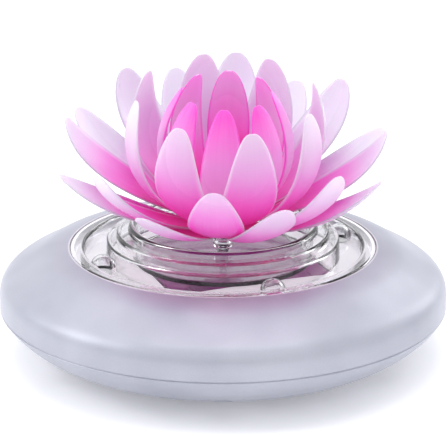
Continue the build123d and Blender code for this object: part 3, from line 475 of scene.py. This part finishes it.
# Millimetres and degrees, as in the CAD model
PETALS = 8
THICKNESS = 1.0
BASE_SHARE = 0.72
TIP_WIDTH = 2.0
TIP_ROUNDNESS = 0.55
FLARE = 1.3
WIDEST = 0.6
LEAN_AZIMUTH = -83.6
HUB_BOTTOM = 7.0
HUB_FLANGE = 1.4
DISC_THICKNESS = 1.6

# A petal thins from THINNING_START of its length, and its section is rounded off beyond EDGE_START of its
# half width
THINNING_START = 0.75
THINNING = 0.45
EDGE_START = 0.5
EDGE_SQUARENESS = 6

LENGTHWISE = 44
CROSSWISE = 12
TIP_CROWDING = 1.6


def disc_middle(number):
    """The height of a whorl's disc above the ball's centre, in millimetres along the flower's axis."""
    return HUB_BOTTOM + HUB_FLANGE + (number - 0.5) * DISC_THICKNESS


# Whorl 1 is the lowest. A keel is a cubic curve with four control points, each so many millimetres from the
# flower's axis and along it from the ball's centre. rises lifts each petal's middle and its tip. The last
# entry of each whorl moves each petal's colours along its length, as a share of it: partly how far the dye
# has run, partly painted light and shade, which sets the rear petals paler and the front ones deeper.
WHORLS = {
    1: {
        "keel": ((8.4, disc_middle(1)), (30, 14.8), (52, 21.0), (69.0, 45.0)),
        "width": 22.0,
        "cup": 2.4,
        "phase": 18.5,
        "rises": ((0, -2.5), (0, -0.5), (0, 2.5), (0, 0), (0, -4), (2.8, 0), (2.5, 7), (0, 1.5)),
        "dye": (0.0, -0.15, -0.15, -0.1, 0.1, 0.26, 0.26, 0.14),
    },
    2: {
        "keel": ((7.7, disc_middle(2)), (31, 19.6), (61, 31.0), (64.8, 54.9)),
        "width": 22.0,
        "cup": 2.6,
        "phase": -4,
        "rises": ((0, 0), (0, 0), (0, 1), (0, 0), (0, -1.5), (0, -2.5), (0, 3.5), (0.5, 3)),
        "dye": (0.12, -0.1, -0.15, -0.1, 0.12, 0.2, 0.36, 0.22),
    },
    3: {
        "keel": ((7.0, disc_middle(3)), (25, 19.5), (51, 34.0), (36.6, 68.8)),
        "width": 22.5,
        "cup": 3.2,
        "phase": 15.5,
        "rises": ((0, 0),) * PETALS,
        "dye": (0.0, -0.1, -0.1, 0.0, 0.08, 0.2, 0.2, 0.12),
    },
    4: {
        "keel": ((6.3, disc_middle(4)), (22, 21.0), (38, 42.0), (17.8, 69.9)),
        "width": 17.5,
        "cup": 3.0,
        "phase": -3,
        "rises": ((0, 0),) * PETALS,
        "dye": (0.05, 0.2, 0.36, 0.2, 0.05, 0.0, 0.0, 0.0),
    },
}


def flower_frame():
    """The matrix to the row's frame from the flower's own, which has +Z along its axis, from the ball."""
    axis = Vector(joints["flower_turn"]["axis"]).normalized()
    centre = Vector(joints["flower_turn"]["pos_m"])
    side = Vector((cos(radians(LEAN_AZIMUTH + 90)), sin(radians(LEAN_AZIMUTH + 90)), 0))
    forward = axis.cross(side)
    turn = Matrix((side, forward, axis)).transposed().to_4x4()
    return Matrix.Translation(centre) @ turn


def bezier(points, t):
    """A point on a cubic curve with four control points, and the curve's direction there."""
    back = 1 - t
    weights = (back**3, 3 * t * back**2, 3 * t**2 * back, t**3)
    slopes = (-3 * back**2, 3 * back**2 - 6 * t * back, 6 * t * back - 3 * t**2, 3 * t**2)
    place = [sum(w * p[k] for w, p in zip(weights, points)) for k in (0, 1)]
    slope = [sum(s * p[k] for s, p in zip(slopes, points)) for k in (0, 1)]
    return place, slope


def petal_width(t, base_width, full_width):
    """The width across a petal at a fraction of its length, widest at WIDEST and rounded at the tip."""
    if t < WIDEST:
        return base_width + (full_width - base_width) * sin(pi / 2 * t / WIDEST) ** FLARE
    past = (t - WIDEST) / (1 - WIDEST)
    return TIP_WIDTH + (full_width - TIP_WIDTH) * max(0, 1 - past**2) ** TIP_ROUNDNESS


def petal_stations():
    """Fractions of the petal's length, closer together towards the rounded tip."""
    return [1 - (1 - i / LENGTHWISE) ** TIP_CROWDING for i in range(LENGTHWISE + 1)]


def petal_section():
    """Places round a petal's section: from -1 to 1 over the upper skin, and back under the lower one."""
    upper = [(-1 + 2 * k / CROSSWISE, 1) for k in range(CROSSWISE + 1)]
    lower = [(1 - 2 * k / CROSSWISE, -1) for k in range(CROSSWISE + 1)]
    return upper + lower


def petal_skin(keel, full_width, cup, azimuth, dye):
    """A closed petal, whose two skins meet in a rounded edge: its vertices, faces and UVs."""
    vertices, uvs = [], []
    base_width = BASE_SHARE * keel[0][0]
    turn = Matrix.Rotation(radians(azimuth), 4, "Z")
    around = petal_section()
    stations = petal_stations()
    for t in stations:
        (r, z), (dr, dz) = bezier(keel, t)
        length = sqrt(dr * dr + dz * dz)
        normal = (-dz / length, dr / length)
        width = petal_width(t, base_width, full_width)
        rise = cup * (width / full_width) ** 2
        thin = 1 - THINNING * max(0, (t - THINNING_START) / (1 - THINNING_START)) ** 2
        for across, side in around:
            edge = 1
            if abs(across) > EDGE_START:
                edge = 0.5 + 0.5 * sqrt(max(0, 1 - abs(across) ** EDGE_SQUARENESS))
            offset = rise * across**2 + side * THICKNESS / 2 * thin * edge
            point = Vector((r + normal[0] * offset, across * width / 2, z + normal[1] * offset)) * MM
            vertices.append(turn @ point)
            # The length is set back by each petal's shift: partly dye, partly painted light and shade
            uvs.append((0.5 + across / 2, t - dye))
    ring = len(around)
    faces = []
    for i in range(len(stations) - 1):
        for k in range(ring):
            here, there = i * ring + k, i * ring + (k + 1) % ring
            faces.append((here, there, there + ring, here + ring))
    last = (len(stations) - 1) * ring
    for k in range(CROSSWISE):
        faces.append((k + 1, k, ring - 1 - k, ring - 2 - k))
        faces.append((last + k, last + k + 1, last + ring - 2 - k, last + ring - 1 - k))
    return vertices, faces, uvs


def make_whorl(number, material):
    """One whorl of petals, which stands for the CAD node of plain ones."""
    whorl = WHORLS[number]
    own_turn = -(LEAN_AZIMUTH + 90)
    root, shoulder, waist, tip = whorl["keel"]
    vertices, faces, uvs = [], [], []
    for index, ((middle_rise, tip_rise), dye) in enumerate(zip(whorl["rises"], whorl["dye"])):
        keel = (
            root,
            (shoulder[0], shoulder[1] + middle_rise),
            (waist[0], waist[1] + middle_rise),
            (tip[0], tip[1] + tip_rise),
        )
        azimuth = whorl["phase"] + own_turn + index * 360 / PETALS
        points, quads, marks = petal_skin(keel, whorl["width"], whorl["cup"], azimuth, dye)
        start = len(vertices)
        vertices += points
        uvs += marks
        faces += [tuple(start + k for k in quad) for quad in quads]
    to_row = flower_frame()
    piece = add_piece(f"petals_{number}", [to_row @ v for v in vertices], faces, material, uvs)
    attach(piece, "flower")
    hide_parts(f"petal_ring_{number}")


def make_flower():
    """The four whorls, each with the dye's colours from base to tip."""
    outer = [(0.10, DEEP_MAGENTA), (0.30, MAGENTA), (0.46, PINK), (0.62, LAVENDER), (0.82, WHITE_LILAC)]
    middle = [
        (0.10, DEEP_MAGENTA),
        (0.24, MAGENTA),
        (0.42, PINK),
        (0.58, PALE_PINK),
        (0.72, LAVENDER),
        (0.92, WHITE_LILAC),
    ]
    inner = [
        (0.08, DEEP_MAGENTA),
        (0.28, PINK),
        (0.52, LAVENDER),
        (0.74, PALE_PINK),
        (0.86, PINK),
        (0.97, MAGENTA),
    ]
    # The petals glow a little in their own colour, more on the inner whorls: painted light
    make_whorl(1, petal_plastic("petal_first", outer, EDGE_GREY))
    make_whorl(2, petal_plastic("petal_second", outer, EDGE_GREY))
    make_whorl(3, petal_plastic("petal_third", middle, WHITE_LILAC, painted_glow=0.12))
    make_whorl(4, petal_plastic("petal_fourth", inner, MAGENTA, painted_glow=0.18))


# ---------------------------------------------------------------- button spring

SPRING_TURNS = 3
SPRING_STEPS = 120
WIRE_SIDES = 10
WIRE_RADIUS = 0.3 * MM


def make_button_spring():
    """The button's spring, which stands for the CAD node of it and moves with the button."""
    low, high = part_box("button_spring")
    centre = (Vector(low) + Vector(high)) / 2
    coil_radius = (high[0] - low[0]) / 2 - WIRE_RADIUS
    bottom, top = low[2] + WIRE_RADIUS, high[2] - WIRE_RADIUS
    vertices, faces = [], []
    for i in range(SPRING_STEPS + 1):
        angle = 2 * pi * SPRING_TURNS * i / SPRING_STEPS
        outwards = Vector((cos(angle), sin(angle), 0))
        height = bottom + (top - bottom) * i / SPRING_STEPS
        middle = Vector((centre[0], centre[1], height)) + outwards * coil_radius
        for k in range(WIRE_SIDES):
            around = 2 * pi * k / WIRE_SIDES
            vertices.append(middle + WIRE_RADIUS * (outwards * cos(around) + Vector((0, 0, sin(around)))))
    for i in range(SPRING_STEPS):
        for k in range(WIRE_SIDES):
            here, beside = i * WIRE_SIDES + k, i * WIRE_SIDES + (k + 1) % WIRE_SIDES
            faces.append((here, here + WIRE_SIDES, beside + WIRE_SIDES, beside))
    faces.append(tuple(range(WIRE_SIDES)))
    faces.append(tuple(SPRING_STEPS * WIRE_SIDES + k for k in reversed(range(WIRE_SIDES))))
    material = moulded("spring_steel", (0.55, 0.55, 0.56), roughness=0.25, metallic=1.0)
    piece = add_piece("spring_coil", vertices, faces, material)
    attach(piece, "power_button")
    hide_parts("button_spring")
    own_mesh(piece)


# ---------------------------------------------------------------- studio

FLOOR_REACH = 6.0
FLOOR_GLOW = 0.2

# Colours by the height of the direction looked in: a bright tent with a darker band round it
TENT = [
    (0.00, (0.90, 0.91, 0.93)),
    (0.10, (0.90, 0.91, 0.93)),
    (0.16, (0.22, 0.22, 0.25)),
    (0.30, (0.22, 0.22, 0.25)),
    (0.38, (0.96, 0.97, 1.00)),
    (1.00, (0.96, 0.97, 1.00)),
]
OPEN_TENT = (0.94, 0.95, 0.98, 1)

# Name, place, size and watts of each area light
LIGHTS = (
    ("overhead", (0.0, 0.1, 1.1), (1.0, 0.8), 3.5),
    ("key", (-1.0, -0.1, 0.8), (0.5, 0.5), 3.5),
    ("rim", (0.8, 0.7, 0.6), (0.4, 0.6), 2),
)


def make_floor():
    """A wide pale floor, level with the foot."""
    mesh = bpy.data.meshes.new("floor")
    corners = [(-1, -1), (1, -1), (1, 1), (-1, 1)]
    mesh.from_pydata([(x * FLOOR_REACH, y * FLOOR_REACH, cad_low.z) for x, y in corners], [], [(0, 1, 2, 3)])
    floor = bpy.data.objects.new("floor", mesh)
    bpy.context.scene.collection.objects.link(floor)
    material, tree, shader, place = new_material("floor_white")
    pale = between(tree, noise(tree, place, FLOOR_SCALE, 2), (0.93, 0.93, 0.94), (0.95, 0.95, 0.955))
    tree.links.new(pale, shader.inputs["Base Color"])
    shader.inputs["Emission Color"].default_value = rgba(WHITE)
    shader.inputs["Emission Strength"].default_value = FLOOR_GLOW
    shader.inputs["Roughness"].default_value = 0.6
    shader.inputs["Specular IOR Level"].default_value = 0.2
    mesh.materials.append(material)


def area_light(name, place, target, size, power):
    """A rectangular light that faces a target."""
    data = bpy.data.lights.new(name, "AREA")
    data.shape = "RECTANGLE"
    data.size, data.size_y = size
    data.energy = power
    light = bpy.data.objects.new(name, data)
    light.location = place
    light.rotation_mode = "QUATERNION"
    light.rotation_quaternion = (Vector(target) - Vector(place)).to_track_quat("-Z", "Y")
    bpy.context.scene.collection.objects.link(light)


def make_lights():
    """The tent, whose dark band the clear plastic needs to show its steps, and the area lights."""
    world = bpy.data.worlds.new("studio")
    world.use_nodes = True
    tree = world.node_tree
    background = tree.nodes["Background"]
    background.inputs["Strength"].default_value = 1.0
    direction = tree.nodes.new("ShaderNodeTexCoord")
    parts = tree.nodes.new("ShaderNodeSeparateXYZ")
    tree.links.new(direction.outputs["Generated"], parts.inputs["Vector"])
    bands = ramp(tree, parts.outputs["Z"], TENT)
    # The band fades out at both sides and at the back, so that it isn't reflected in the far hull
    sideways = tree.nodes.new("ShaderNodeMath")
    sideways.operation = "ABSOLUTE"
    tree.links.new(parts.outputs["X"], sideways.inputs[0])
    open_sides = between(tree, sideways.outputs["Value"], BLACK, WHITE, 0.45, 0.80)
    open_back = between(tree, parts.outputs["Y"], BLACK, WHITE, 0.10, 0.45)
    open_ways = mix(tree, 1.0, open_sides, open_back, "SCREEN")
    tree.links.new(mix(tree, open_ways, bands, OPEN_TENT), background.inputs["Color"])
    bpy.context.scene.world = world
    centre = (cad_low + cad_high) / 2
    for name, place, size, power in LIGHTS:
        area_light(name, place, centre, size, power)


# ---------------------------------------------------------------- camera

# Degrees, metres, and millimetres for the lens and the sensor
CAMERA_HEIGHT_ANGLE = 20.3
CAMERA_DISTANCE = 1.0
LENS = 192.86
SENSOR = 36
NEAREST = 0.01
FARTHEST = 50
SEAM_HEIGHT = 0.021
AIM_ABOVE_SEAM = 0.03125
AIM_RIGHT = 0.0004


def make_camera():
    """The photograph's camera, placed from the middle of the hull's seam."""
    angle = radians(CAMERA_HEIGHT_ANGLE)
    seam = Vector((0, 0, cad_low.z + SEAM_HEIGHT))
    back = Vector((0, -cos(angle), sin(angle)))
    up = Vector((0, sin(angle), cos(angle)))
    data = bpy.data.cameras.new("camera")
    data.lens = LENS
    data.sensor_width = SENSOR
    data.clip_start = NEAREST
    data.clip_end = FARTHEST
    camera = bpy.data.objects.new("camera", data)
    camera.location = seam + back * CAMERA_DISTANCE
    aim = seam + up * AIM_ABOVE_SEAM + Vector((AIM_RIGHT, 0, 0))
    camera.rotation_mode = "QUATERNION"
    camera.rotation_quaternion = (aim - camera.location).to_track_quat("-Z", "Y")
    bpy.context.scene.collection.objects.link(camera)
    bpy.context.scene.camera = camera


paint_nodes()
make_button_spring()
make_flower()
make_floor()
make_lights()
make_camera()
bpy.context.scene.view_settings.view_transform = "Standard"
